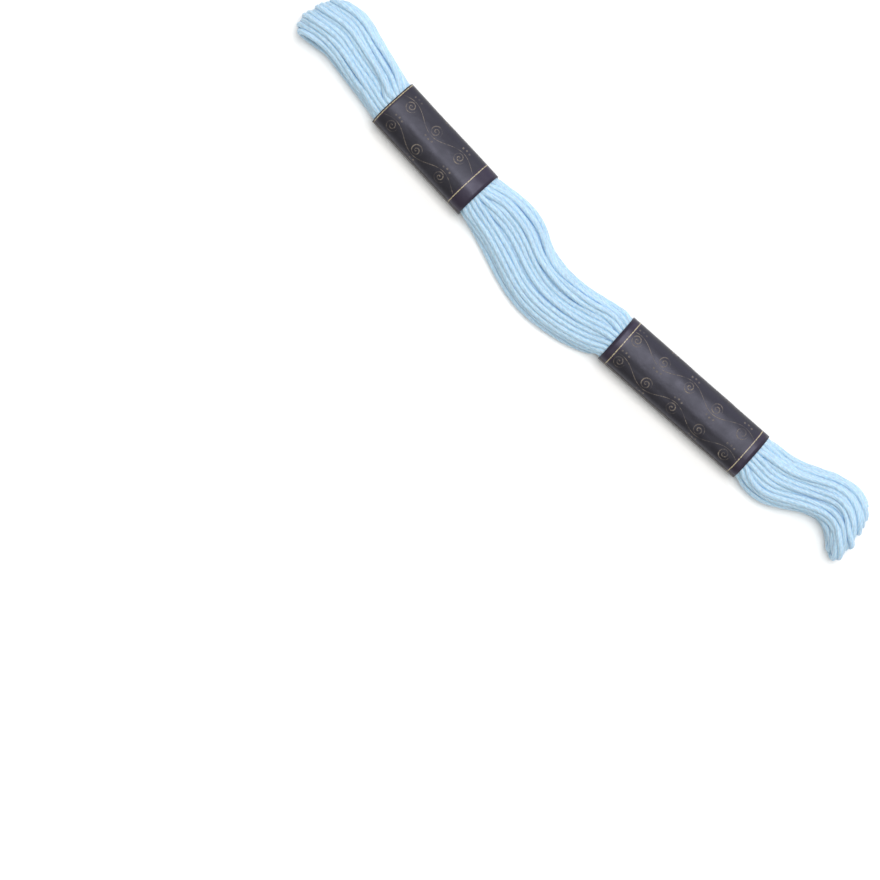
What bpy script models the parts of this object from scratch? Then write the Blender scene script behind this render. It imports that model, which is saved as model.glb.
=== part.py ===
"""A pull skein of embroidery floss: one thread wound into a long flat hank, held by two paper bands.

The skein lies on a table. +X runs along it, +Z is up, and the origin is on the table under the
middle of its outline. Sizes are in millimetres and turned to metres where a mesh is made.
"""

import math
from collections import namedtuple

import bmesh
import bpy
from mathutils import Vector

MM = 0.001

# The hank is an endless loop seen from above: a top run, a fold, a bottom run and a second fold.
RIDGES = 10  # strands that show across one run
GROOVE_DEPTH = 0.42
SIDE_WALL = 0.55  # height of a run's side, where its last strand lies
INNER_POINTS = 5
STATION_STEP = 2.6
FOLD_STEPS = 9

# The oval that the hank and the bands share: 2 is an ellipse, more is squarer.
OVAL_POWER = 2.6
UNDERSIDE_FILL = 1.07  # over 1 leaves a flat strip where the oval meets the table

# The paper bands.
BAND_WIDTH = 11.6
BAND_HEIGHT = 7.4
PAPER_WALL = 1.0
BAND_OUTLINE_POINTS = 44

# How each end of the hank turns over: the heading of its strands there, in degrees from +X, and how
# far along X its two edges lie from its middle. The slant moves them apart and the bow together.
Fold = namedtuple("Fold", "heading slant bow")
FIRST_FOLD = Fold(190.0, 1.3, -0.1)
LAST_FOLD = Fold(-48.0, -0.9, 0.6)
FOLD_REACH = 12.0  # both are eased in over this length

# One row for each section of the hank: where it is, its two edges, the height of its underside
# above the table, its whole height, and the gap between its two runs.
Section = namedtuple("Section", "x y_low y_high base height gap")
SECTIONS = [
    Section(-78.6, -1.9, 10.4, 0.0, 8.2, 1.8),
    Section(-74.0, -1.1, 11.75, 0.0, 7.9, 1.5),
    Section(-69.0, -1.8, 10.4, 0.0, 7.2, 0.8),
    Section(-64.0, -2.5, 8.9, 0.0, 6.6, 0.4),
    Section(-59.5, -3.0, 7.6, 0.4, 6.0, 0.3),
    Section(-56.0, -3.2, 6.0, 1.3, 4.8, 0.3),
    Section(-42.2, -3.8, 5.2, 1.3, 4.8, 0.3),
    Section(-28.4, -4.7, 4.5, 1.3, 4.8, 0.3),
    Section(-24.6, -6.4, 5.9, 0.5, 5.6, 0.3),
    Section(-19.0, -8.2, 6.5, 0.0, 6.0, 0.4),
    Section(-14.5, -9.8, 5.8, 0.0, 5.9, 0.4),
    Section(-9.5, -11.2, 3.2, 0.0, 5.8, 0.4),
    Section(-3.5, -11.85, 2.1, 0.0, 5.8, 0.4),
    Section(2.0, -11.2, 2.3, 0.0, 5.8, 0.4),
    Section(7.0, -10.1, 3.2, 0.0, 5.8, 0.4),
    Section(11.0, -8.6, 3.9, 0.5, 5.5, 0.3),
    Section(14.4, -6.1, 3.1, 1.3, 4.8, 0.3),
    Section(33.5, -5.2, 3.8, 1.3, 4.8, 0.3),
    Section(52.7, -4.4, 4.8, 1.3, 4.8, 0.3),
    Section(56.5, -5.8, 6.1, 0.5, 5.7, 0.3),
    Section(61.0, -5.5, 6.9, 0.0, 6.4, 0.4),
    Section(65.5, -3.0, 8.8, 0.0, 6.8, 0.5),
    Section(70.0, -0.3, 10.7, 0.0, 7.4, 1.0),
    Section(74.5, 0.3, 11.8, 0.0, 7.9, 1.5),
    Section(77.2, -1.0, 11.5, 0.0, 8.1, 1.7),
    Section(79.3, -3.5, 10.2, 0.0, 8.2, 1.8),
]

Band = namedtuple("Band", "name x_start y_start x_end y_end")
BANDS = [
    Band("short_band", -55.75, 1.4, -28.55, -0.1),
    Band("long_band", 14.15, -1.5, 52.95, 0.25),
]


def srgb_to_linear(value):
    return value / 12.92 if value <= 0.04045 else ((value + 0.055) / 1.055) ** 2.4


def make_material(name, hex_colour, roughness):
    """A Principled material of one colour, given as sRGB hex."""
    material = bpy.data.materials.new(name)
    material.use_nodes = True
    shader = material.node_tree.nodes["Principled BSDF"]
    colour = [srgb_to_linear(int(hex_colour[i : i + 2], 16) / 255) for i in (1, 3, 5)]
    shader.inputs["Base Color"].default_value = (*colour, 1.0)
    shader.inputs["Roughness"].default_value = roughness
    shader.inputs["Metallic"].default_value = 0.0
    return material


def add_object(name, bm, material, collection):
    """Turns a finished bmesh in millimetres into an object in metres."""
    bmesh.ops.scale(bm, vec=(MM, MM, MM), verts=bm.verts)
    mesh = bpy.data.meshes.new(name)
    bm.to_mesh(mesh)
    bm.free()
    mesh.materials.append(material)
    mesh.shade_smooth()
    item = bpy.data.objects.new(name, mesh)
    collection.objects.link(item)
    return item


def oval_height(side):
    """Height of the oval's edge, 0 to 1, at a place across it, -1 to 1."""
    return max(0.0, 1.0 - abs(side) ** OVAL_POWER) ** (1.0 / OVAL_POWER)


def slope_at(index, column):
    """The slope of a column at a row, taken between its neighbours."""
    before = SECTIONS[max(index - 1, 0)]
    after = SECTIONS[min(index + 1, len(SECTIONS) - 1)]
    return (getattr(after, column) - getattr(before, column)) / (after.x - before.x)


def section_between(index, share):
    """A section part of the way from one row to the next: edges on a cubic, heights eased."""
    first = SECTIONS[index]
    last = SECTIONS[index + 1]
    span = last.x - first.x
    eased = share * share * (3 - 2 * share)
    values = {"x": first.x + span * share}
    for column in ("y_low", "y_high"):
        start = getattr(first, column)
        end = getattr(last, column)
        bow_start = slope_at(index, column) * span * share * (1 - share) ** 2
        bow_end = slope_at(index + 1, column) * span * share**2 * (1 - share)
        values[column] = start + (end - start) * eased + bow_start - bow_end
    for column in ("base", "height", "gap"):
        values[column] = getattr(first, column) + (getattr(last, column) - getattr(first, column)) * eased
    return Section(**values)


def sections_along():
    """The table's sections, filled in so that neighbours are at most one step apart."""
    filled = []
    for index in range(len(SECTIONS) - 1):
        span = SECTIONS[index + 1].x - SECTIONS[index].x
        steps = max(1, math.ceil(span / STATION_STEP))
        filled += [section_between(index, step / steps) for step in range(steps)]
    return filled + [SECTIONS[-1]]


def fold_shift(x, side):
    """How far the folds' slants and bows move a place along X, by its place across, -1 to 1."""
    shift = 0.0
    for fold, away in ((FIRST_FOLD, x - SECTIONS[0].x), (LAST_FOLD, SECTIONS[-1].x - x)):
        near = max(0.0, 1 - away / FOLD_REACH)
        shift += near * near * (3 - 2 * near) * (fold.slant * side + fold.bow * side * side)
    return shift


def ring_points(section, turn, heading):
    """One ring of the hank's skin.

    The run lies above the section's middle at turn 0 and below it at turn pi. Between them it
    swings out along the heading, which makes the fold at an end of the hank.
    """
    half_height = section.height / 2
    middle = section.base + half_height
    inner = section.gap / 2
    outward = Vector((math.cos(heading) * math.sin(turn), math.sin(heading) * math.sin(turn), math.cos(turn)))
    under = max(0.0, -math.cos(turn))
    ridge = GROOVE_DEPTH * (1 - under)
    fill = 1 + (UNDERSIDE_FILL - 1) * under

    def at(side, reach):
        y = section.y_low + (section.y_high - section.y_low) * (side + 1) / 2
        return Vector((section.x + fold_shift(section.x, side), y, middle)) + outward * reach

    points = []
    for step in range(2 * RIDGES + 1):
        side = step / RIDGES - 1
        reach = half_height * min(1.0, fill * oval_height(side))
        groove = ridge if step % 2 == 0 and 0 < step < 2 * RIDGES else 0.0
        points.append(at(side, max(inner + SIDE_WALL, reach - groove)))
    for step in range(INNER_POINTS + 1):
        points.append(at(1 - 2 * step / INNER_POINTS, inner))
    return points


def hank_rings():
    """All rings round the loop: along the top, over the last fold, back below and up the first fold."""
    sections = sections_along()
    first_heading = math.radians(FIRST_FOLD.heading)
    last_heading = math.radians(LAST_FOLD.heading)
    turns = [math.pi * step / FOLD_STEPS for step in range(1, FOLD_STEPS)]
    rings = [ring_points(section, 0.0, 0.0) for section in sections]
    rings += [ring_points(sections[-1], turn, last_heading) for turn in turns]
    rings += [ring_points(section, math.pi, 0.0) for section in reversed(sections)]
    rings += [ring_points(sections[0], turn, first_heading) for turn in reversed(turns)]
    return rings


def make_hank(material, collection):
    """The floss as one closed loop: a loft through rings whose shape changes all along it."""
    bm = bmesh.new()
    rings = [[bm.verts.new(point) for point in ring] for ring in hank_rings()]
    for here, ahead in zip(rings, rings[1:] + rings[:1]):
        for index in range(len(here)):
            after = (index + 1) % len(here)
            bm.faces.new((here[index], here[after], ahead[after], ahead[index]))
    bmesh.ops.recalc_face_normals(bm, faces=bm.faces)
    return add_object("floss_hank", bm, material, collection)


def make_band(band, material, collection):
    """A paper sleeve: an oval outline drawn out along the skein and given its wall with Solidify."""
    run = Vector((band.x_end - band.x_start, band.y_end - band.y_start, 0.0))
    length = run.length
    bm = bmesh.new()
    outline = []
    for step in range(BAND_OUTLINE_POINTS):
        angle = 2 * math.pi * step / BAND_OUTLINE_POINTS
        side = math.copysign(abs(math.cos(angle)) ** (2 / OVAL_POWER), math.cos(angle))
        height = abs(math.sin(angle)) ** (2 / OVAL_POWER)
        if math.sin(angle) < 0:
            height = -min(1.0, UNDERSIDE_FILL * height)
        outline.append(bm.verts.new((-length / 2, side * BAND_WIDTH / 2, (1 + height) * BAND_HEIGHT / 2)))
    edges = [bm.edges.new((a, b)) for a, b in zip(outline, outline[1:] + outline[:1])]
    drawn = bmesh.ops.extrude_edge_only(bm, edges=edges)["geom"]
    moved = [item for item in drawn if isinstance(item, bmesh.types.BMVert)]
    bmesh.ops.translate(bm, verts=moved, vec=(length, 0, 0))
    bmesh.ops.recalc_face_normals(bm, faces=bm.faces)

    sleeve = add_object(band.name, bm, material, collection)
    sleeve.location = (
        (band.x_start + band.x_end) / 2 * MM,
        (band.y_start + band.y_end) / 2 * MM,
        0.0,
    )
    sleeve.rotation_euler.z = math.atan2(run.y, run.x)
    wall = sleeve.modifiers.new("paper wall", "SOLIDIFY")
    wall.thickness = PAPER_WALL * MM
    wall.offset = -1
    wall.use_even_offset = True
    return sleeve


for old in list(bpy.data.objects):
    bpy.data.objects.remove(old, do_unlink=True)

skein = bpy.data.collections.new("embroidery_floss_skein")
bpy.context.scene.collection.children.link(skein)

make_hank(make_material("light blue cotton", "#B6D6EC", 0.55), skein)
for band_row in BANDS:
    make_band(band_row, make_material(f"{band_row.name} paper", "#4B4852", 0.4), skein)
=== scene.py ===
import math
from collections import namedtuple
from itertools import product

import bmesh
import bpy
import numpy as np
from mathutils import Matrix, Vector, noise


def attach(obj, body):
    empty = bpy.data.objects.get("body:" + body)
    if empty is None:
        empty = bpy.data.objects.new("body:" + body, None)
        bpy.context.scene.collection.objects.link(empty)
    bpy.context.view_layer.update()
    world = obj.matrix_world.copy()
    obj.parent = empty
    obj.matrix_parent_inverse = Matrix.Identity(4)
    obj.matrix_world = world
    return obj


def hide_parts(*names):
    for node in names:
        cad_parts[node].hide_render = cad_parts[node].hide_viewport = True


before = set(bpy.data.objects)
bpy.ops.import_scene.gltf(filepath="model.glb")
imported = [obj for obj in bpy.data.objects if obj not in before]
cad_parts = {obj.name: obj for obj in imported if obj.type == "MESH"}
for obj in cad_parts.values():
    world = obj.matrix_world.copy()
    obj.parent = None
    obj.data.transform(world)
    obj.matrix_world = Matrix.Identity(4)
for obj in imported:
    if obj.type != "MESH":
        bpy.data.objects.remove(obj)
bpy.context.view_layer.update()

# ---------------------------------------------------------------------------------------------
# The floss. One stranded cotton thread, about nine metres long, is wound in twenty-eight
# turns into a long flat hank. Its six strands lie together with a slow twist. At each end of the
# hank every turn folds over in a loop, and between the bands the turns swell and lie loosely.
# ---------------------------------------------------------------------------------------------

MM = 0.001  # lengths are in mm, and turned to metres where a mesh is made
THREAD_RADIUS = 0.57
THREAD_REACH = 0.65  # the soft strands swell a little past the thread's middle width
POINT_STEP = 1.0  # between the thread's points while it settles
OVAL_POWER = 2.6  # the hank's section: 2 is an ellipse, more is squarer

# The hank at its sections, in mm: where each is along X, its edges, its underside and top, and the
# eye that the folds leave open between the top run and the bottom run.
Section = namedtuple("Section", "x y_low y_high base top eye")
HANK = [
    Section(-78.9, -1.9, 10.4, 0.0, 8.2, 1.8),
    Section(-74.0, -1.1, 11.75, 0.0, 7.9, 1.5),
    Section(-69.0, -1.8, 10.4, 0.0, 7.2, 0.8),
    Section(-64.0, -2.5, 8.9, 0.0, 6.6, 0.4),
    Section(-59.5, -3.2, 7.7, 0.0, 6.6, 0.1),
    Section(-56.0, -4.0, 6.9, 0.2, 7.1, 0.0),
    Section(-42.2, -4.8, 6.1, 0.2, 7.1, 0.0),
    Section(-28.4, -5.5, 5.4, 0.2, 7.1, 0.0),
    Section(-24.6, -6.5, 5.95, 0.0, 6.6, 0.1),
    Section(-19.0, -8.2, 6.5, 0.0, 6.0, 0.2),
    Section(-14.5, -9.8, 5.8, 0.0, 5.9, 0.2),
    Section(-9.5, -11.2, 3.2, 0.0, 5.8, 0.2),
    Section(-3.5, -11.85, 2.1, 0.0, 5.8, 0.2),
    Section(2.0, -11.2, 2.3, 0.0, 5.8, 0.2),
    Section(7.0, -10.1, 3.2, 0.0, 5.8, 0.2),
    Section(11.0, -8.6, 3.9, 0.0, 6.4, 0.1),
    Section(14.4, -7.1, 4.0, 0.2, 7.1, 0.0),
    Section(33.5, -6.2, 4.8, 0.2, 7.1, 0.0),
    Section(52.7, -5.3, 5.7, 0.2, 7.1, 0.0),
    Section(56.5, -5.9, 6.1, 0.0, 6.6, 0.1),
    Section(61.0, -5.5, 6.9, 0.0, 6.6, 0.3),
    Section(65.5, -3.0, 8.8, 0.0, 6.8, 0.5),
    Section(70.0, -0.3, 10.7, 0.0, 7.4, 1.0),
    Section(74.5, 0.3, 11.8, 0.0, 7.9, 1.5),
    Section(76.9, -1.0, 11.5, 0.0, 8.1, 1.7),
    Section(78.8, -3.5, 10.2, 0.0, 8.2, 1.8),
]

# The bands squeeze the thread, so their sizes come in here. A crease is a place across a band's
# upper side, -1 to 1, and how far the paper stands off the oval there.
Crease = namedtuple("Crease", "side rise")
SHORT_BAND_CREASES = [
    Crease(-0.85, 0.0),
    Crease(-0.45, 0.1),
    Crease(-0.12, 0.22),
    Crease(0.3, -0.08),
    Crease(0.6, -0.25),
    Crease(0.85, 0.0),
]
LONG_BAND_CREASES = [
    Crease(-0.85, 0.0),
    Crease(-0.68, -0.03),
    Crease(-0.47, -0.15),
    Crease(-0.35, -0.04),
    Crease(0.05, 0.09),
    Crease(0.22, 0.09),
    Crease(0.6, 0.0),
]
Band = namedtuple("Band", "name x_start y_start x_end y_end creases")
BANDS = [
    Band("short_band", -55.75, 1.4, -28.55, -0.1, SHORT_BAND_CREASES),
    Band("long_band", 14.15, -1.5, 52.95, 0.25, LONG_BAND_CREASES),
]
BAND_WIDTH = 11.6
BAND_HEIGHT = 7.4
PAPER = 0.2
BAND_ROOM = 0.12  # for the paper's waves and the thread's rounded strands
BAND_MOUTH = 1.0  # how far past the paper's ends the thread is still held in

# The winding, from the outside in: each layer's turns, how far out it lies, and its share of the
# hank's width.
Layer = namedtuple("Layer", "turns depth reach")
LAYERS = [Layer(12, 1.0, 1.0), Layer(9, 0.5, 0.8), Layer(7, 0.05, 0.65)]
TURN_START = 33.0  # inside the long band, where the pieces of thread meet
WOUND_STEP = 0.5  # between the first winding's points, along its runs
FOLD_POINTS = 30  # round each fold
WOUND_SMOOTHING = 6  # passes that round off its corners
OVAL_INSET = 0.97  # keeps the outermost turns off the oval's very edge, where it has no height

# A thread doesn't run quite evenly: how far it strays, and over how many of its points.
Wander = namedtuple("Wander", "size every")
SIDE_WANDER = Wander(0.07, 90)  # of the hank's half width
DEPTH_WANDER = Wander(0.22, 80)  # of the way from the eye to the outside

# How each end turns over: the heading of its turns there, in degrees from +X, and how far along X
# its two edges lie from its middle, eased in over a length. The slant moves one edge out and the
# other in, and the bow moves both the same way.
Fold = namedtuple("Fold", "heading slant bow")
FIRST_FOLD = Fold(190.0, 1.3, -0.1)
LAST_FOLD = Fold(-48.0, -0.9, 0.6)
FOLD_REACH = 12.0

# How the thread settles. Pulls are shares of the way to go, made at every step.
SETTLE_STEPS = 320
CONTACT = 1.12  # how near two turns come, middle to middle
WATCHED = 0.35  # points up to this much further apart are watched, as they may soon touch
WATCH_EVERY = 8  # steps from one search for them to the next
OWN_NEIGHBOURS = 4  # points that lie so near along the thread don't press on each other
BESIDE = 0.8  # points press on each other only side by side, to within this share of a step
WEIGHT = 0.006  # down at every step
WOUND_PULL = 0.03  # back to where the thread was wound, fading away as it settles
WOUND_HOLD = 0.006  # the part of that pull that stays
UPRIGHT_SHARE = 0.3  # how much of it works up and down
EVENING = 0.4  # keeps the points evenly spaced along the thread
BENDING = 0.22  # spreads a bend out along the thread
TENSION = 0.02  # straightens a bend
OUTLINE_PULL = 0.4  # back inside the hank's two edges
STRAND_LIFT = 1.08  # the strands stand out a little from the thread's mean width


def along_hank(x, column):
    """A column of the hank's table at the places x, on a smooth curve through its rows."""
    rows = np.array([row.x for row in HANK])
    values = np.array([getattr(row, column) for row in HANK])
    slopes = np.gradient(values, rows)
    row = np.clip(np.searchsorted(rows, x) - 1, 0, len(rows) - 2)
    span = rows[row + 1] - rows[row]
    t = (x - rows[row]) / span
    eased = t * t * (3 - 2 * t)
    bow = slopes[row] * t * (1 - t) ** 2 - slopes[row + 1] * t * t * (1 - t)
    return values[row] * (1 - eased) + values[row + 1] * eased + bow * span


def stray(random, count, wander):
    """Smooth seeded noise for that many points: a spline through random knots."""
    knots = random.uniform(-1, 1, int(count / wander.every) + 4)
    place = np.arange(count) / wander.every + 1
    knot = place.astype(int)
    t = place - knot
    before, here, after, beyond = (knots[knot + step] for step in (-1, 0, 1, 2))
    return wander.size * (
        here
        + 0.5 * t * (after - before)
        + 0.5 * t * t * (2 * before - 5 * here + 4 * after - beyond)
        + 0.5 * t**3 * (3 * here - before - 3 * after + beyond)
    )


def unit(vectors):
    return vectors / (np.linalg.norm(vectors, axis=1)[:, None] + 1e-9)


def spaced(points, step):
    """The same line with points at even steps along it."""
    length = np.concatenate([[0], np.cumsum(np.linalg.norm(np.diff(points, axis=0), axis=1))])
    places = np.linspace(0, length[-1], int(length[-1] / step) + 1)
    return np.stack([np.interp(places, length, points[:, axis]) for axis in range(3)], axis=1)


def wound_thread(random):
    """The thread as it is first wound: turn after turn round the hank, from slot to slot."""
    slots = []
    for number, layer in enumerate(LAYERS):
        across = np.linspace(-layer.reach, layer.reach, layer.turns)
        if number % 2:
            across = across[::-1]
        slots += [(side, layer.depth) for side in across]
    slots = np.array(slots)

    # one turn: out along the top, over the last fold, back below, and up the first fold
    first, last = HANK[0].x, HANK[-1].x
    out = np.arange(TURN_START, last, WOUND_STEP)
    back = np.arange(last, first, -WOUND_STEP)
    home = np.arange(first, TURN_START, WOUND_STEP)
    fold = np.linspace(0, math.pi, FOLD_POINTS)
    over_last, over_first = (np.full(FOLD_POINTS, end.heading) for end in (LAST_FOLD, FIRST_FOLD))
    x = np.concatenate([out, np.full(FOLD_POINTS, last), back, np.full(FOLD_POINTS, first), home])
    swing = np.concatenate([0 * out, fold, 0 * back + math.pi, fold[::-1], 0 * home])
    heading = np.radians(np.concatenate([0 * out, over_last, 0 * back, over_first, 0 * home]))

    # every turn, each sliding over to the next one's slot
    points_in_turn = len(x)
    turns = len(slots)
    x, swing, heading = (np.tile(values, turns) for values in (x, swing, heading))
    turn = np.repeat(np.arange(turns), points_in_turn)
    share = np.tile(np.arange(points_in_turn) / points_in_turn, turns)[:, None]
    slot = slots[turn] * (1 - share) + slots[np.minimum(turn + 1, turns - 1)] * share
    side = np.clip(slot[:, 0] + stray(random, len(x), SIDE_WANDER), -1, 1)
    depth = np.clip(slot[:, 1] + stray(random, len(x), DEPTH_WANDER), 0, 1)

    columns = ("y_low", "y_high", "base", "top", "eye")
    low, high, base, top, eye = (along_hank(x, column) for column in columns)
    half_height = (top - base) / 2
    oval = (1 - np.abs(OVAL_INSET * side) ** OVAL_POWER) ** (1 / OVAL_POWER)
    inner = eye / 2 + THREAD_RADIUS
    outer = np.maximum(half_height * oval - THREAD_RADIUS, inner)
    reach = inner + depth * (outer - inner)
    y = (low + high) / 2 + side * ((high - low) / 2 - THREAD_RADIUS)
    for end, away in ((FIRST_FOLD, x - first), (LAST_FOLD, last - x)):
        near = np.clip(1 - away / FOLD_REACH, 0, 1)
        x = x + near * near * (3 - 2 * near) * (end.slant * side + end.bow * side * side)
    points = np.stack(
        [
            x + np.cos(heading) * np.sin(swing) * reach,
            y + np.sin(heading) * np.sin(swing) * reach,
            base + half_height + np.cos(swing) * reach,
        ],
        axis=1,
    )
    for _ in range(WOUND_SMOOTHING):
        points[1:-1] = 0.25 * points[:-2] + 0.5 * points[1:-1] + 0.25 * points[2:]
    return spaced(points, POINT_STEP)


def near_pairs(points, reach):
    """Every two points of the thread within reach of each other, but for close neighbours along it.

    The points are sorted into cells of that reach, so only the cells round each one are searched.
    """
    cell = np.floor((points - points.min(0)) / reach).astype(np.int64) + 1
    _, rows, layers = cell.max(0) + 2
    key = (cell[:, 0] * rows + cell[:, 1]) * layers + cell[:, 2]
    order = np.argsort(key, kind="stable")
    sorted_key = key[order]
    firsts, seconds = [], []
    for a, b, c in product((-1, 0, 1), repeat=3):
        shift = (a * rows + b) * layers + c
        if shift < 0:
            continue
        start = np.searchsorted(sorted_key, key + shift, "left")
        count = np.searchsorted(sorted_key, key + shift, "right") - start
        first = np.repeat(np.arange(len(points)), count)
        offset = np.repeat(start - np.concatenate([[0], np.cumsum(count)[:-1]]), count)
        second = order[np.arange(len(first)) + offset]
        near = np.linalg.norm(points[first] - points[second], axis=1) < reach
        near &= np.abs(first - second) > OWN_NEIGHBOURS
        if shift == 0:
            near &= first < second
        firsts.append(first[near])
        seconds.append(second[near])
    return np.concatenate(firsts), np.concatenate(seconds)


def push_apart(points, lie, first, second):
    """Moves turns that press into each other apart, square to the way they lie."""
    between = points[first] - points[second]
    same_way = np.sign((lie[first] * lie[second]).sum(1))[:, None]
    line = unit(lie[first] + lie[second] * same_way)
    ahead = (between * line).sum(1)
    between = between - ahead[:, None] * line
    distance = np.linalg.norm(between, axis=1) + 1e-9
    touching = (distance < CONTACT) & (np.abs(ahead) < BESIDE * POINT_STEP)
    first, second = first[touching], second[touching]
    push = between[touching] * (0.5 * (CONTACT / distance[touching] - 1))[:, None]
    total = len(points)
    count = np.bincount(first, minlength=total) + np.bincount(second, minlength=total)
    move = np.stack(
        [np.bincount(first, part, total) - np.bincount(second, part, total) for part in push.T],
        axis=1,
    )
    points += move / np.maximum(1, 0.5 * count)[:, None]


def hold_in_band(points, band, room):
    """Keeps the thread inside a band's paper, with some room between them."""
    middle = np.array([band.x_start + band.x_end, band.y_start + band.y_end]) / 2
    run = np.array([band.x_end - band.x_start, band.y_end - band.y_start])
    length = np.hypot(*run)
    run /= length
    out = np.array([-run[1], run[0]])
    offset = points[:, :2] - middle
    ahead, side, height = offset @ run, offset @ out, points[:, 2] - BAND_HEIGHT / 2
    rise = np.interp(side / (BAND_WIDTH / 2), *zip(*band.creases)) * (height > 0)
    height = height - rise
    half_width = BAND_WIDTH / 2 - PAPER - room - THREAD_REACH
    half_height = BAND_HEIGHT / 2 - PAPER - room - THREAD_REACH
    fullness = np.abs(side / half_width) ** OVAL_POWER + np.abs(height / half_height) ** OVAL_POWER
    held = (np.abs(ahead) < length / 2 + BAND_MOUTH) & (fullness > 1)
    shrink = fullness[held] ** (-1 / OVAL_POWER)
    points[held, :2] = middle + ahead[held, None] * run + (side[held] * shrink)[:, None] * out
    points[held, 2] = BAND_HEIGHT / 2 + height[held] * shrink + rise[held]


def hold_in_outline(points):
    """Eases the outermost turns back to the hank's two edges, but for the folds."""
    held = (points[:, 0] > HANK[1].x) & (points[:, 0] < HANK[-2].x)
    x, y = points[held, 0], points[held, 1]
    inside = np.clip(y, along_hank(x, "y_low") + THREAD_REACH, along_hank(x, "y_high") - THREAD_REACH)
    points[held, 1] += OUTLINE_PULL * (inside - y)


def settle(points):
    """Lets the wound thread find its own lie: turns touch, bend smoothly, and rest on the table."""
    wound = points.copy()
    for step in range(SETTLE_STEPS):
        if step % WATCH_EVERY == 0:
            first, second = near_pairs(points, CONTACT + WATCHED)
        points[:, 2] -= WEIGHT
        pull = WOUND_PULL * (1 - step / SETTLE_STEPS) + WOUND_HOLD
        points += (wound - points) * (pull, pull, UPRIGHT_SHARE * pull)
        lie = unit(np.gradient(points, axis=0))
        push_apart(points, lie, first, second)
        push_apart(points, lie, first, second)
        bow = np.zeros_like(points)
        bow[1:-1] = 0.5 * (points[:-2] + points[2:]) - points[1:-1]
        ahead = (bow * lie).sum(1)[:, None] * lie
        unevenness = np.zeros_like(points)
        unevenness[1:-1] = bow[1:-1] - 0.5 * (bow[:-2] + bow[2:])
        unevenness -= (unevenness * lie).sum(1)[:, None] * lie
        points += EVENING * ahead + BENDING * unevenness + TENSION * (bow - ahead)
        hold_in_outline(points)
        for band in BANDS:
            hold_in_band(points, band, BAND_ROOM * (step + 1) / SETTLE_STEPS)
        points[:, 2] = np.maximum(points[:, 2], THREAD_REACH)
    points[:, 2] = np.maximum(points[:, 2], STRAND_LIFT * THREAD_REACH)
    return points


# The thread's own form: six strands laid round each other.
STRANDS = 6
STRAND_POINTS = 4  # round each strand
STRAND_BULGE = 0.1
STRAND_LEVEL = 0.6  # the bulge counts from here, so that the thread keeps its width
TWIST_LENGTH = 22.0  # one whole twist of the strands
TWIST_WANDER = Wander(0.9, 14)  # radians
WIDTH_WANDER = Wander(0.05, 11)  # of the thread's width
RING_STEP = 0.7  # between the mesh's rings, along the thread
CAP_WELD = 0.0005  # joins the thread's cut ends to its side
TURNS_IN_PIECE = 6


def thread_profile():
    """The section of the thread, a ring of six rounded strands, as a flat curve."""
    curve = bpy.data.curves.new("thread profile", "CURVE")
    curve.dimensions = "2D"
    ring = curve.splines.new("POLY")
    count = STRANDS * STRAND_POINTS
    ring.points.add(count - 1)
    ring.use_cyclic_u = True
    for number, point in enumerate(ring.points):
        angle = 2 * math.pi * number / count
        bulge = STRAND_BULGE * (abs(math.cos(angle * STRANDS / 2)) - STRAND_LEVEL)
        radius = THREAD_REACH * MM * (1 + bulge)
        point.co = (radius * math.cos(angle), radius * math.sin(angle), 0, 1)
    item = bpy.data.objects.new("thread profile", curve)
    bpy.context.scene.collection.objects.link(item)
    return item


def thread_piece(name, points, start_length, random, profile):
    """A stretch of the thread as a mesh: the profile carried along it, twisting as it goes.

    Its UV map is in mm along the thread and 0 to 1 round it.
    """
    points = spaced(points, RING_STEP)
    curve = bpy.data.curves.new(name, "CURVE")
    curve.dimensions = "3D"
    curve.bevel_mode = "OBJECT"
    curve.bevel_object = profile
    curve.use_fill_caps = True
    line = curve.splines.new("POLY")
    line.points.add(len(points) - 1)
    co = np.ones((len(points), 4))
    co[:, :3] = points * MM
    line.points.foreach_set("co", co.ravel())
    along = start_length + np.arange(len(points)) * RING_STEP
    twist = 2 * math.pi * along / TWIST_LENGTH + stray(random, len(points), TWIST_WANDER)
    line.points.foreach_set("tilt", twist)
    line.points.foreach_set("radius", 1 + stray(random, len(points), WIDTH_WANDER))
    item = bpy.data.objects.new(name, curve)
    bpy.context.scene.collection.objects.link(item)
    graph = bpy.context.evaluated_depsgraph_get()
    mesh = bpy.data.meshes.new_from_object(item.evaluated_get(graph), depsgraph=graph)
    bpy.data.objects.remove(item)
    mesh.name = name
    uv = np.zeros(2 * len(mesh.loops))
    mesh.uv_layers["UVMap"].data.foreach_get("uv", uv)
    uv[0::2] = start_length + uv[0::2] * RING_STEP * (len(points) - 1)
    mesh.uv_layers["UVMap"].data.foreach_set("uv", uv)
    bm = bmesh.new()
    bm.from_mesh(mesh)
    bmesh.ops.remove_doubles(bm, verts=bm.verts, dist=CAP_WELD * MM)
    bmesh.ops.recalc_face_normals(bm, faces=bm.faces)
    bm.to_mesh(mesh)
    bm.free()
    piece = bpy.data.objects.new(name, mesh)
    bpy.context.scene.collection.objects.link(piece)
    return piece


def linear(hex_colour):
    """An sRGB hex colour as the linear RGBA that the shaders take."""
    values = [int(hex_colour[i : i + 2], 16) / 255 for i in (1, 3, 5)]
    return (*(v / 12.92 if v <= 0.04045 else ((v + 0.055) / 1.055) ** 2.4 for v in values), 1.0)


def add_node(tree, kind, settings=None, **inputs):
    """Adds a node, sets its settings, and fills its inputs with values or with another's output.

    An input is named by its socket, or by in0, in1 and so on for its place.
    """
    node = tree.nodes.new(kind)
    for name, value in (settings or {}).items():
        setattr(node, name, value)
    for name, value in inputs.items():
        number = name.removeprefix("in")
        socket = node.inputs[int(number) if number.isdigit() else name.replace("_", " ")]
        if isinstance(value, bpy.types.NodeSocket):
            tree.links.new(value, socket)
        else:
            socket.default_value = value
    return node


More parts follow.
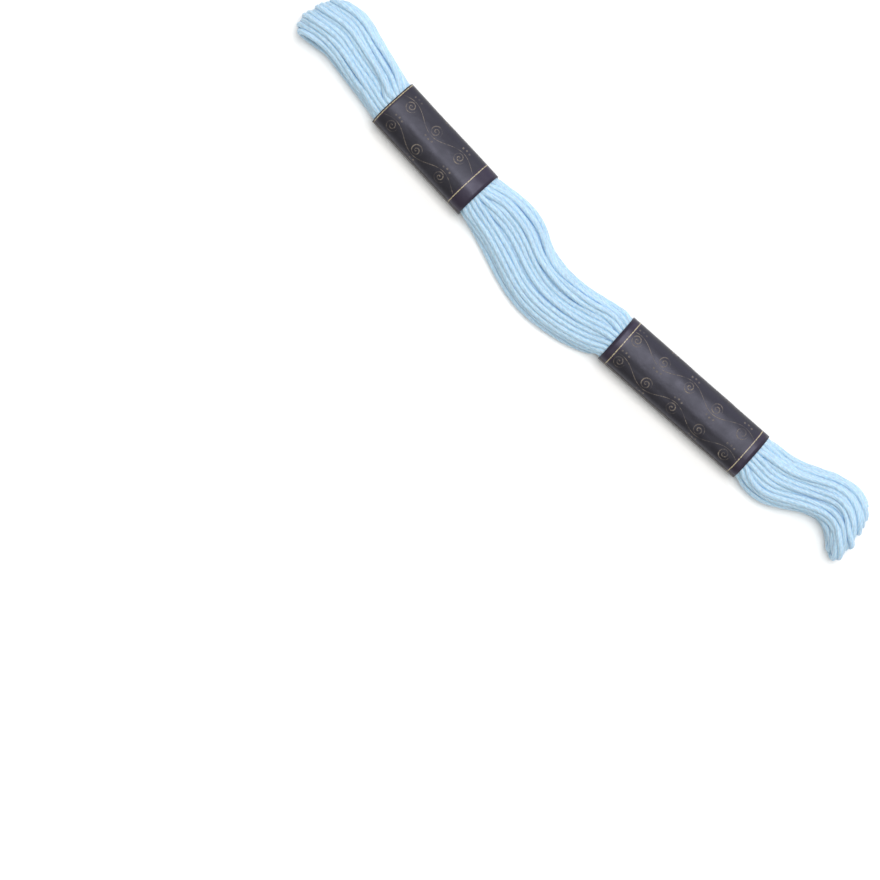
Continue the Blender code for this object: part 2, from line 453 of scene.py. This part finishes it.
# Mercerised cotton, dyed pale blue: a smooth silky yarn. Light slides along its combed fibres,
# painted shade darkens the grooves between the strands, and fine streaks run the way the fibres lie.
# A cotton fibre is 0.02 mm across, too fine to show: the streaks stand for bundles of fibres, about
# 0.8 mm long and 0.3 mm across.
STREAKS_PER_MM = 1.3  # along the thread
STREAKS_ROUND = 14  # round it
DYE_SHADES_PER_MM = 0.045  # the dye takes a little unevenly, over some 20 mm of thread
STREAK_HEIGHT = 0.04  # of the bump
GAP_REACH = 0.6  # how far off a neighbour still shades the thread

cotton = bpy.data.materials.new("pale blue mercerised cotton")
cotton.use_nodes = True
tree = cotton.node_tree
shader = tree.nodes["Principled BSDF"]
shader.inputs["Roughness"].default_value = 0.52
shader.inputs["IOR"].default_value = 1.53
shader.inputs["Subsurface Weight"].default_value = 0.4
shader.inputs["Subsurface Radius"].default_value = (0.7, 0.9, 1.0)
shader.inputs["Subsurface Scale"].default_value = 0.7 * MM
shader.inputs["Sheen Weight"].default_value = 0.25
shader.inputs["Sheen Roughness"].default_value = 0.45
shader.inputs["Sheen Tint"].default_value = linear("#E6F4FF")
place = add_node(tree, "ShaderNodeUVMap", {"uv_map": "UVMap"})
parts = add_node(tree, "ShaderNodeSeparateXYZ", in0=place.outputs[0])
fibre_place = add_node(
    tree,
    "ShaderNodeVectorMath",
    {"operation": "MULTIPLY"},
    in0=place.outputs[0],
    in1=(STREAKS_PER_MM, STREAKS_ROUND, 1),
)
fibres = add_node(
    tree,
    "ShaderNodeTexNoise",
    {"noise_dimensions": "2D"},
    Vector=fibre_place.outputs[0],
    Scale=1.0,
    Detail=2.0,
)
dye_place = add_node(
    tree, "ShaderNodeMath", {"operation": "MULTIPLY"}, in0=parts.outputs[0], in1=DYE_SHADES_PER_MM
)
dye = add_node(
    tree,
    "ShaderNodeTexNoise",
    {"noise_dimensions": "1D"},
    W=dye_place.outputs[0],
    Scale=1.0,
    Detail=1.0,
)
# painted shade: the grooves between the six strands are coloured darker and bluer than their crowns
phase = add_node(
    tree,
    "ShaderNodeMath",
    {"operation": "MULTIPLY"},
    in0=parts.outputs[1],
    in1=2 * math.pi * STRANDS,
)
groove = add_node(tree, "ShaderNodeMath", {"operation": "COSINE"}, in0=phase.outputs[0])
painted_lit_crowns = add_node(
    tree,
    "ShaderNodeMapRange",
    Value=groove.outputs[0],
    From_Min=-1.0,
    From_Max=0.4,
    To_Min=0.0,
    To_Max=1.0,
)
base = add_node(
    tree,
    "ShaderNodeMix",
    {"data_type": "RGBA"},
    Factor=painted_lit_crowns.outputs[0],
    in6=linear("#A9CFE6"),
    in7=linear("#B9D1E2"),
)
streak = add_node(
    tree,
    "ShaderNodeMapRange",
    Value=fibres.outputs[0],
    From_Min=0.3,
    From_Max=0.7,
    To_Min=0.86,
    To_Max=1.1,
)
shade = add_node(
    tree,
    "ShaderNodeMapRange",
    Value=dye.outputs[0],
    From_Min=0.3,
    From_Max=0.7,
    To_Min=0.95,
    To_Max=1.03,
)
depth = add_node(
    tree, "ShaderNodeMath", {"operation": "MULTIPLY"}, in0=streak.outputs[0], in1=shade.outputs[0]
)
colour = add_node(
    tree, "ShaderNodeVectorMath", {"operation": "SCALE"}, in0=base.outputs[2], Scale=depth.outputs[0]
)
# painted shade: where another turn lies near, the colour is painted a deeper blue, standing in for light
# that bounces between dyed fibres
painted_shade_openness = add_node(tree, "ShaderNodeAmbientOcclusion", {"samples": 8}, Distance=GAP_REACH * MM)
between = add_node(
    tree,
    "ShaderNodeMapRange",
    Value=painted_shade_openness.outputs["AO"],
    From_Min=0.12,
    From_Max=0.58,
    To_Min=0.0,
    To_Max=1.0,
)
colour = add_node(
    tree,
    "ShaderNodeMix",
    {"data_type": "RGBA"},
    in0=between.outputs[0],
    in6=linear("#88BEEA"),
    in7=colour.outputs[0],
)
tree.links.new(colour.outputs[2], shader.inputs["Base Color"])
bump = add_node(
    tree, "ShaderNodeBump", Height=fibres.outputs[0], Strength=0.35, Distance=STREAK_HEIGHT * MM
)
tree.links.new(bump.outputs[0], shader.inputs["Normal"])

# The thread is cut inside the long band, out of sight, into pieces of at most six turns each.
random = np.random.default_rng(20)
thread = settle(wound_thread(random))
profile = thread_profile()
crossings = np.nonzero((thread[:-1, 0] < TURN_START) & (thread[1:, 0] >= TURN_START))[0] + 1
cuts = [0, *crossings[TURNS_IN_PIECE - 1 :: TURNS_IN_PIECE], len(thread) - 1]
for number, (start, end) in enumerate(zip(cuts, cuts[1:]), 1):
    stretch = thread[start : end + 1]
    piece = thread_piece(f"floss_turns_{number}", stretch, start * POINT_STEP, random, profile)
    piece.data.materials.append(cotton)
    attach(piece, "root")
    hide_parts("floss_hank")
bpy.data.objects.remove(profile)

# ---------------------------------------------------------------------------------------------
# The two paper bands. Each is a strip of thin black coated paper, printed in gold, wrapped once
# round the hank and glued where its end laps over its start, low on the hank's lower side.
# ---------------------------------------------------------------------------------------------

LAP = 3.6  # how far the paper's end lies over its start
LAP_BEND = 0.9  # the oval goes further round in the same angle than a circle of its height
LAP_RISE = 0.21  # the outer layer lies a paper's thickness and a little glue over the inner one
LAP_SLOPE = 1.2  # the outer layer climbs over the inner one along this much of the strip
END_ANGLE = math.radians(172)  # of the outer end, just above the widest line of the lower side
CREASE_EASE = 0.07  # paper bends round a crease over this much of the half width
FINE_STEPS = 1200  # places round the outline, before they are evened out
OUTLINE_STEP = 0.4
BAND_STEP = 0.9
# the paper's unevenness over the thread, in waves of these lengths along it and across it
Wave = namedtuple("Wave", "along across")
BROAD_WAVE = Wave(9, 3.2)
FINE_WAVE = Wave(3, 1.4)
WAVE_HEIGHT = 0.07
FINE_SHARE = 0.3  # the fine waves' height, as a share of the broad ones'


def sleeve_point(band, angle, rise):
    """A place on the middle of the paper, by its angle round the hank and its rise off the oval."""
    cos, sin = math.cos(angle), math.sin(angle)
    side = math.copysign(abs(cos) ** (2 / OVAL_POWER), cos)
    height = math.copysign(abs(sin) ** (2 / OVAL_POWER), sin)
    out = Vector((side * BAND_HEIGHT, height * BAND_WIDTH)).normalized()
    if sin > 0:
        eases = (-CREASE_EASE, 0, CREASE_EASE)
        rise += float(np.mean([np.interp(side + ease, *zip(*band.creases)) for ease in eases]))
    return Vector((side * BAND_WIDTH / 2, height * BAND_HEIGHT / 2)) + out * (rise - PAPER / 2)


def strip_outline(band):
    """The strip's section from its inner start to its outer end, with the place across the paper.

    Both are in mm. Across the paper, 0 is the crown and more is towards the hank's upper edge.
    """
    once = 2 * math.pi
    lap_angle = 2 * LAP / BAND_HEIGHT * LAP_BEND
    slope_angle = 2 * LAP_SLOPE / BAND_HEIGHT
    turned = np.linspace(0, once + lap_angle, FINE_STEPS)
    start = END_ANGLE + lap_angle
    rises = LAP_RISE * np.clip((turned - once + slope_angle) / slope_angle, 0, 1)
    fine = [sleeve_point(band, start - angle, rise) for angle, rise in zip(turned, rises)]
    steps = [(b - a).length for a, b in zip(fine, fine[1:])]
    length = np.concatenate([[0], np.cumsum(steps)])
    crown = np.interp(start - math.pi / 2, turned, length)
    places = np.linspace(0, length[-1], round(length[-1] / OUTLINE_STEP) + 1)
    ys, zs = (np.interp(places, length, [point[axis] for point in fine]) for axis in (0, 1))
    return list(zip(ys, zs, places - crown))


def wave_at(place, wave, shift):
    """Smooth noise at a place on the paper, -1 to 1."""
    return noise.noise(Vector((place.x / wave.along, place.y / wave.across, place.z / wave.across + shift)))


def make_band(band, black_paper, paper_core):
    """A strip of paper drawn out along the hank, a little uneven over the thread inside it."""
    run = Vector((band.x_end - band.x_start, band.y_end - band.y_start, 0.0))
    steps = round(run.length / BAND_STEP)
    bm = bmesh.new()
    across = bm.verts.layers.float.new("across")
    ring = []
    for y, z, place in strip_outline(band):
        vert = bm.verts.new((-run.length / 2, y, z + BAND_HEIGHT / 2))
        vert[across] = place
        ring.append(vert)
    edges = [bm.edges.new(pair) for pair in zip(ring, ring[1:])]
    for _ in range(steps):
        drawn = bmesh.ops.extrude_edge_only(bm, edges=edges)["geom"]
        ahead = {item for item in drawn if isinstance(item, bmesh.types.BMVert)}
        edges = [item for item in drawn if isinstance(item, bmesh.types.BMEdge)]
        edges = [edge for edge in edges if all(vert in ahead for vert in edge.verts)]
        bmesh.ops.translate(bm, verts=list(ahead), vec=(run.length / steps, 0, 0))
    print_map = bm.loops.layers.uv.new("print")
    for face in bm.faces:
        for loop in face.loops:
            loop[print_map].uv = (loop.vert.co.x + run.length / 2, loop.vert[across])
    for vert in bm.verts:
        out = Vector((0, vert.co.y * BAND_HEIGHT, (vert.co.z - BAND_HEIGHT / 2) * BAND_WIDTH)).normalized()
        wave = wave_at(vert.co, BROAD_WAVE, band.x_start)
        fine_wave = wave_at(vert.co, FINE_WAVE, -band.x_start)
        vert.co += out * WAVE_HEIGHT * (wave + FINE_SHARE * fine_wave)
        vert.co.z = max(vert.co.z, PAPER / 2)
    place = Matrix.Translation(((band.x_start + band.x_end) / 2, (band.y_start + band.y_end) / 2, 0))
    turn = Matrix.Rotation(math.atan2(run.y, run.x), 4, "Z")
    bmesh.ops.transform(bm, matrix=Matrix.Scale(MM, 4) @ place @ turn, verts=bm.verts)
    bmesh.ops.recalc_face_normals(bm, faces=bm.faces)
    mesh = bpy.data.meshes.new(band.name + "_paper")
    bm.to_mesh(mesh)
    bm.free()
    mesh.shade_smooth()
    mesh.materials.append(black_paper)
    mesh.materials.append(paper_core)
    piece = bpy.data.objects.new(band.name + "_paper", mesh)
    bpy.context.scene.collection.objects.link(piece)
    wall = piece.modifiers.new("paper", "SOLIDIFY")
    wall.thickness = PAPER * MM
    wall.offset = 0
    wall.use_even_offset = True
    wall.material_offset_rim = 1
    return piece, run.length


# The print, in mm on the flat strip: a thin gold line near each end, and between the lines a running
# scroll of vines, curls and berries in duller gold.
END_LINES = [(0.36, 3.4), (1.9, 1.9)]  # for each band, how far in from its first end and its last
END_LINE_HALF_WIDTH = 0.1
SCROLL_MARGIN = 0.5  # the scroll stops this far inside the end lines
SCROLL_PITCH = 15.0  # one whole wave of the vine, with a curl on each side
SCROLL_HEIGHT = 1.3
SCROLL_ROW = 5.9  # from one vine to the next, round the band
SCROLL_START = 2.3  # the first vine's place across, from the crown
LINE_HALF_WIDTH = 0.085
LINE_FADE = 1.6  # a line's ink is gone at this many of its half widths
VINE_FINENESS = 0.04  # the vine's line is finer than the curls' by this on each side
CURL_RADIUS = 1.4
CURL_GAP = 0.74  # from one turn of a curl to the next
CURL_DROP = 0.1  # how far a curl's middle lies under the row's own line
BERRIES = [(0.0, 2.3), (0.95, 2.1)]  # along from the arch's middle, either way, and up from its row
BERRY_RADIUS = 0.12  # besides a line's half width
# Patches of ink, coating and paper: how many there are to a mm.
WORN_PATCHES = 0.55
INK_SPOTS = 2.6
COAT_MOTTLES = 0.35
PAPER_TEETH = 1.4
TOOTH_HEIGHT = 0.06


def end_line_mark(tree, along, length, end_lines):
    """The thin line near each end: 1 on the line and 0 off it."""
    marks = []
    for where in (end_lines[0], length - end_lines[1]):
        off = add_node(tree, "ShaderNodeMath", {"operation": "SUBTRACT"}, in0=along, in1=where).outputs[0]
        off = add_node(tree, "ShaderNodeMath", {"operation": "ABSOLUTE"}, in0=off).outputs[0]
        mark = add_node(
            tree, "ShaderNodeMath", {"operation": "LESS_THAN"}, in0=off, in1=END_LINE_HALF_WIDTH
        ).outputs[0]
        marks.append(mark)
    return add_node(tree, "ShaderNodeMath", {"operation": "MAXIMUM"}, in0=marks[0], in1=marks[1]).outputs[0]


def scroll_mark(tree, along, across):
    """The running scroll: 1 on its lines and berries, fading to 0 just outside them.

    It is drawn once, for half a wave of the vine, and turned over for the next half.
    """
    half = add_node(
        tree, "ShaderNodeMath", {"operation": "MULTIPLY"}, in0=along, in1=2 / SCROLL_PITCH
    ).outputs[0]
    number = add_node(tree, "ShaderNodeMath", {"operation": "FLOOR"}, in0=half).outputs[0]
    odd = add_node(tree, "ShaderNodeMath", {"operation": "FLOORED_MODULO"}, in0=number, in1=2.0).outputs[0]
    flip = add_node(
        tree, "ShaderNodeMath", {"operation": "MULTIPLY_ADD"}, in0=odd, in1=-2.0, in2=1.0
    ).outputs[0]
    x = add_node(tree, "ShaderNodeMath", {"operation": "SUBTRACT"}, in0=half, in1=number).outputs[0]
    x = add_node(
        tree,
        "ShaderNodeMath",
        {"operation": "MULTIPLY_ADD"},
        in0=x,
        in1=SCROLL_PITCH / 2,
        in2=-SCROLL_PITCH / 4,
    ).outputs[0]
    row = add_node(
        tree, "ShaderNodeMath", {"operation": "SUBTRACT"}, in0=across, in1=SCROLL_START
    ).outputs[0]
    row = add_node(
        tree, "ShaderNodeMath", {"operation": "WRAP"}, in0=row, in1=SCROLL_ROW / 2, in2=-SCROLL_ROW / 2
    ).outputs[0]
    y = add_node(tree, "ShaderNodeMath", {"operation": "MULTIPLY"}, in0=row, in1=flip).outputs[0]

    # the vine: an arch over each half wave
    swing = add_node(
        tree, "ShaderNodeMath", {"operation": "MULTIPLY"}, in0=x, in1=2 * math.pi / SCROLL_PITCH
    ).outputs[0]
    arch = add_node(tree, "ShaderNodeMath", {"operation": "COSINE"}, in0=swing).outputs[0]
    off = add_node(
        tree, "ShaderNodeMath", {"operation": "MULTIPLY_ADD"}, in0=arch, in1=-SCROLL_HEIGHT, in2=y
    ).outputs[0]
    vine_off = add_node(tree, "ShaderNodeMath", {"operation": "ABSOLUTE"}, in0=off).outputs[0]
    vine_off = add_node(
        tree, "ShaderNodeMath", {"operation": "ADD"}, in0=vine_off, in1=VINE_FINENESS
    ).outputs[0]

    # the curl under each arch: a spiral of two turns
    curl_y = add_node(tree, "ShaderNodeMath", {"operation": "ADD"}, in0=y, in1=CURL_DROP).outputs[0]
    out = add_node(tree, "ShaderNodeCombineXYZ", in0=x, in1=curl_y).outputs[0]
    radius = add_node(tree, "ShaderNodeVectorMath", {"operation": "LENGTH"}, in0=out).outputs[1]
    angle = add_node(tree, "ShaderNodeMath", {"operation": "ARCTAN2"}, in0=curl_y, in1=x).outputs[0]
    turned = add_node(
        tree, "ShaderNodeMath", {"operation": "MULTIPLY"}, in0=angle, in1=CURL_GAP / (2 * math.pi)
    ).outputs[0]
    arm = add_node(tree, "ShaderNodeMath", {"operation": "SUBTRACT"}, in0=radius, in1=turned).outputs[0]
    arm = add_node(
        tree, "ShaderNodeMath", {"operation": "WRAP"}, in0=arm, in1=CURL_GAP / 2, in2=-CURL_GAP / 2
    ).outputs[0]
    arm_off = add_node(tree, "ShaderNodeMath", {"operation": "ABSOLUTE"}, in0=arm).outputs[0]
    beyond = add_node(
        tree, "ShaderNodeMath", {"operation": "GREATER_THAN"}, in0=radius, in1=CURL_RADIUS
    ).outputs[0]
    curl_off = add_node(tree, "ShaderNodeMath", {"operation": "ADD"}, in0=arm_off, in1=beyond).outputs[0]

    # three berries over each arch
    sides = add_node(tree, "ShaderNodeMath", {"operation": "ABSOLUTE"}, in0=x).outputs[0]
    here = add_node(tree, "ShaderNodeCombineXYZ", in0=sides, in1=y).outputs[0]
    berry_offs = [
        add_node(
            tree, "ShaderNodeVectorMath", {"operation": "DISTANCE"}, in0=here, in1=(*berry, 0)
        ).outputs[1]
        for berry in BERRIES
    ]
    berry_off = add_node(
        tree, "ShaderNodeMath", {"operation": "MINIMUM"}, in0=berry_offs[0], in1=berry_offs[1]
    ).outputs[0]
    berry_off = add_node(
        tree, "ShaderNodeMath", {"operation": "SUBTRACT"}, in0=berry_off, in1=BERRY_RADIUS
    ).outputs[0]

    off = add_node(tree, "ShaderNodeMath", {"operation": "MINIMUM"}, in0=vine_off, in1=curl_off).outputs[0]
    off = add_node(tree, "ShaderNodeMath", {"operation": "MINIMUM"}, in0=off, in1=berry_off).outputs[0]
    return add_node(
        tree,
        "ShaderNodeMapRange",
        Value=off,
        From_Min=LINE_HALF_WIDTH,
        From_Max=LINE_HALF_WIDTH * LINE_FADE,
        To_Min=1.0,
        To_Max=0.0,
    ).outputs[0]


def black_coated_paper(band, end_lines):
    """Coated paper, printed black: a satin face, a little purple in the light, with faint mottles
    of the press and the coating, a crisp gold line near each end and a scroll in thin, worn ink.
    """
    length = math.hypot(band.x_end - band.x_start, band.y_end - band.y_start)
    name = band.name.replace("_", " ") + ": black coated paper, gold print"
    material = bpy.data.materials.new(name)
    material.use_nodes = True
    tree = material.node_tree
    shader = tree.nodes["Principled BSDF"]
    shader.inputs["IOR"].default_value = 1.46
    shader.inputs["Specular Tint"].default_value = linear("#E4E5FF")
    place = add_node(tree, "ShaderNodeUVMap", {"uv_map": "print"}).outputs[0]
    parts = add_node(tree, "ShaderNodeSeparateXYZ", in0=place)
    along, across = parts.outputs[0], parts.outputs[1]

    # the scroll stays between the two end lines
    middle = (length + end_lines[0] - end_lines[1]) / 2
    reach = (length - end_lines[0] - end_lines[1]) / 2 - SCROLL_MARGIN
    away = add_node(tree, "ShaderNodeMath", {"operation": "SUBTRACT"}, in0=along, in1=middle).outputs[0]
    away = add_node(tree, "ShaderNodeMath", {"operation": "ABSOLUTE"}, in0=away).outputs[0]
    inside = add_node(tree, "ShaderNodeMath", {"operation": "LESS_THAN"}, in0=away, in1=reach).outputs[0]
    scroll = scroll_mark(tree, along, across)
    scroll = add_node(tree, "ShaderNodeMath", {"operation": "MULTIPLY"}, in0=scroll, in1=inside).outputs[0]

    # thin ink: the scroll's lines come and go
    worn = add_node(
        tree,
        "ShaderNodeTexNoise",
        {"noise_dimensions": "2D"},
        Vector=place,
        Scale=WORN_PATCHES,
        Detail=2.0,
    ).outputs[0]
    ink = add_node(
        tree,
        "ShaderNodeMapRange",
        Value=worn,
        From_Min=0.35,
        From_Max=0.65,
        To_Min=0.1,
        To_Max=0.6,
    ).outputs[0]
    # and are a little spotted, as ink is on a coated sheet
    spots = add_node(
        tree,
        "ShaderNodeTexNoise",
        {"noise_dimensions": "2D"},
        Vector=place,
        Scale=INK_SPOTS,
        Detail=1.0,
    ).outputs[0]
    spots = add_node(
        tree,
        "ShaderNodeMapRange",
        Value=spots,
        From_Min=0.35,
        From_Max=0.6,
        To_Min=0.35,
        To_Max=1.0,
    ).outputs[0]
    ink = add_node(tree, "ShaderNodeMath", {"operation": "MULTIPLY"}, in0=ink, in1=spots).outputs[0]
    scroll = add_node(tree, "ShaderNodeMath", {"operation": "MULTIPLY"}, in0=scroll, in1=ink).outputs[0]
    end_mark = end_line_mark(tree, along, length, end_lines)
    end_mark = add_node(
        tree, "ShaderNodeMath", {"operation": "MULTIPLY"}, in0=end_mark, in1=spots
    ).outputs[0]

    # the coating, mottled over a few mm
    mottle = add_node(
        tree,
        "ShaderNodeTexNoise",
        {"noise_dimensions": "2D"},
        Vector=place,
        Scale=COAT_MOTTLES,
        Detail=3.0,
    ).outputs[0]
    black = add_node(
        tree,
        "ShaderNodeMix",
        {"data_type": "RGBA"},
        in0=mottle,
        in6=linear("#211F22"),
        in7=linear("#2B2A2E"),
    ).outputs[2]
    # past its end lines the strip is printed a shade more purple
    black = add_node(
        tree, "ShaderNodeMix", {"data_type": "RGBA"}, in0=inside, in6=linear("#2C2531"), in7=black
    ).outputs[2]
    colour = add_node(
        tree, "ShaderNodeMix", {"data_type": "RGBA"}, in0=scroll, in6=black, in7=linear("#9B8F7E")
    ).outputs[2]
    colour = add_node(
        tree, "ShaderNodeMix", {"data_type": "RGBA"}, in0=end_mark, in6=colour, in7=linear("#BFB38F")
    ).outputs[2]
    tree.links.new(colour, shader.inputs["Base Color"])
    rough = add_node(
        tree,
        "ShaderNodeMapRange",
        Value=mottle,
        From_Min=0.3,
        From_Max=0.7,
        To_Min=0.36,
        To_Max=0.44,
    ).outputs[0]
    # the gold ink is duller than the coating it lies on
    rough = add_node(
        tree, "ShaderNodeMath", {"operation": "MULTIPLY_ADD"}, in0=scroll, in1=0.7, in2=rough
    ).outputs[0]
    tree.links.new(rough, shader.inputs["Roughness"])
    # the paper's own tooth under the coating
    tooth = add_node(
        tree,
        "ShaderNodeTexNoise",
        {"noise_dimensions": "2D"},
        Vector=place,
        Scale=PAPER_TEETH,
        Detail=3.0,
    ).outputs[0]
    bump = add_node(tree, "ShaderNodeBump", Height=tooth, Strength=0.3, Distance=TOOTH_HEIGHT * MM)
    tree.links.new(bump.outputs[0], shader.inputs["Normal"])
    return material


# The paper's core shows where it is cut: matt and grey, darkened where the black ink runs over the
# edge, with fibres drawn coarse, 0.4 mm across, because the real ones are too fine to show.
PAPER_FIBRES_PER_METRE = 2500

paper_core = bpy.data.materials.new("cut edge of the paper")
paper_core.use_nodes = True
tree = paper_core.node_tree
shader = tree.nodes["Principled BSDF"]
shader.inputs["Roughness"].default_value = 0.85
place = add_node(tree, "ShaderNodeTexCoord").outputs["Object"]
fibre = add_node(tree, "ShaderNodeTexNoise", Vector=place, Scale=PAPER_FIBRES_PER_METRE, Detail=2.0)
colour = add_node(
    tree,
    "ShaderNodeMix",
    {"data_type": "RGBA"},
    in0=fibre.outputs[0],
    in6=linear("#4A474C"),
    in7=linear("#8C8884"),
)
tree.links.new(colour.outputs[2], shader.inputs["Base Color"])

for band_row, end_lines in zip(BANDS, END_LINES):
    piece, length = make_band(band_row, black_coated_paper(band_row, end_lines), paper_core)
    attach(piece, "root")
    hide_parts(band_row.name)
    strip = strip_outline(band_row)

# ---------------------------------------------------------------------------------------------
# The studio: a matt white table seen from straight above, with a large soft light over it, a broad
# fill from the hank's upper side, and a pale room all round.
# ---------------------------------------------------------------------------------------------

TABLE_HALF_WIDTH = 8.0  # metres, so that it fills the view from above
bm = bmesh.new()
bmesh.ops.create_grid(bm, x_segments=1, y_segments=1, size=TABLE_HALF_WIDTH)
mesh = bpy.data.meshes.new("table")
bm.to_mesh(mesh)
bm.free()
table = bpy.data.objects.new("table", mesh)
bpy.context.scene.collection.objects.link(table)
white = bpy.data.materials.new("matt white table")
white.use_nodes = True
shader = white.node_tree.nodes["Principled BSDF"]
shader.inputs["Base Color"].default_value = linear("#FBFBFA")
shader.inputs["Roughness"].default_value = 0.9
shader.inputs["Specular IOR Level"].default_value = 0.1
mesh.materials.append(white)

world = bpy.data.worlds.new("studio")
bpy.context.scene.world = world
world.use_nodes = True
tree = world.node_tree
# the studio is a little darker and warmer on the hank's lower side
direction = add_node(tree, "ShaderNodeTexCoord").outputs["Generated"]
parts = add_node(tree, "ShaderNodeSeparateXYZ", in0=direction)
side = add_node(
    tree,
    "ShaderNodeMapRange",
    Value=parts.outputs[1],
    From_Min=-0.9,
    From_Max=0.1,
    To_Min=0.0,
    To_Max=1.0,
).outputs[0]
glow = add_node(
    tree, "ShaderNodeMix", {"data_type": "RGBA"}, in0=side, in6=linear("#B6B5AE"), in7=linear("#F8FAFF")
).outputs[2]
tree.links.new(glow, tree.nodes["Background"].inputs["Color"])
tree.nodes["Background"].inputs["Strength"].default_value = 0.66


def soft_light(name, place, size, power, colour):
    """A square soft light that faces the hank's middle."""
    light = bpy.data.lights.new(name, "AREA")
    light.shape = "SQUARE"
    light.size = size
    light.energy = power
    light.color = linear(colour)[:3]
    item = bpy.data.objects.new(name, light)
    bpy.context.scene.collection.objects.link(item)
    item.location = place
    item.rotation_euler = (-Vector(place)).to_track_quat("-Z", "Y").to_euler()


soft_light("key light", (0.045, 0.34, 2.02), size=1.12, power=29.6, colour="#FFFDFA")
soft_light("fill light", (0.2, 2.2, 1.0), size=1.8, power=12.0, colour="#E8E6FF")

PHOTO_TURN = math.radians(44)  # the hank lies on this slant across the photograph
PHOTO_MIDDLE = Vector((0.00215, -0.04384, 0.004))  # metres, at half the hank's height
PHOTO_WIDTH = 0.1898  # metres across the photograph at that height
CAMERA_DISTANCE = 0.56  # metres, straight up from there
SENSOR_WIDTH = 36
camera = bpy.data.cameras.new("camera")
camera.sensor_width = SENSOR_WIDTH
camera.lens = SENSOR_WIDTH * CAMERA_DISTANCE / PHOTO_WIDTH
item = bpy.data.objects.new("camera", camera)
item.location = PHOTO_MIDDLE + Vector((0, 0, CAMERA_DISTANCE))
item.rotation_euler = (0, 0, PHOTO_TURN)
bpy.context.scene.collection.objects.link(item)
bpy.context.scene.camera = item
bpy.context.scene.view_settings.view_transform = "Standard"
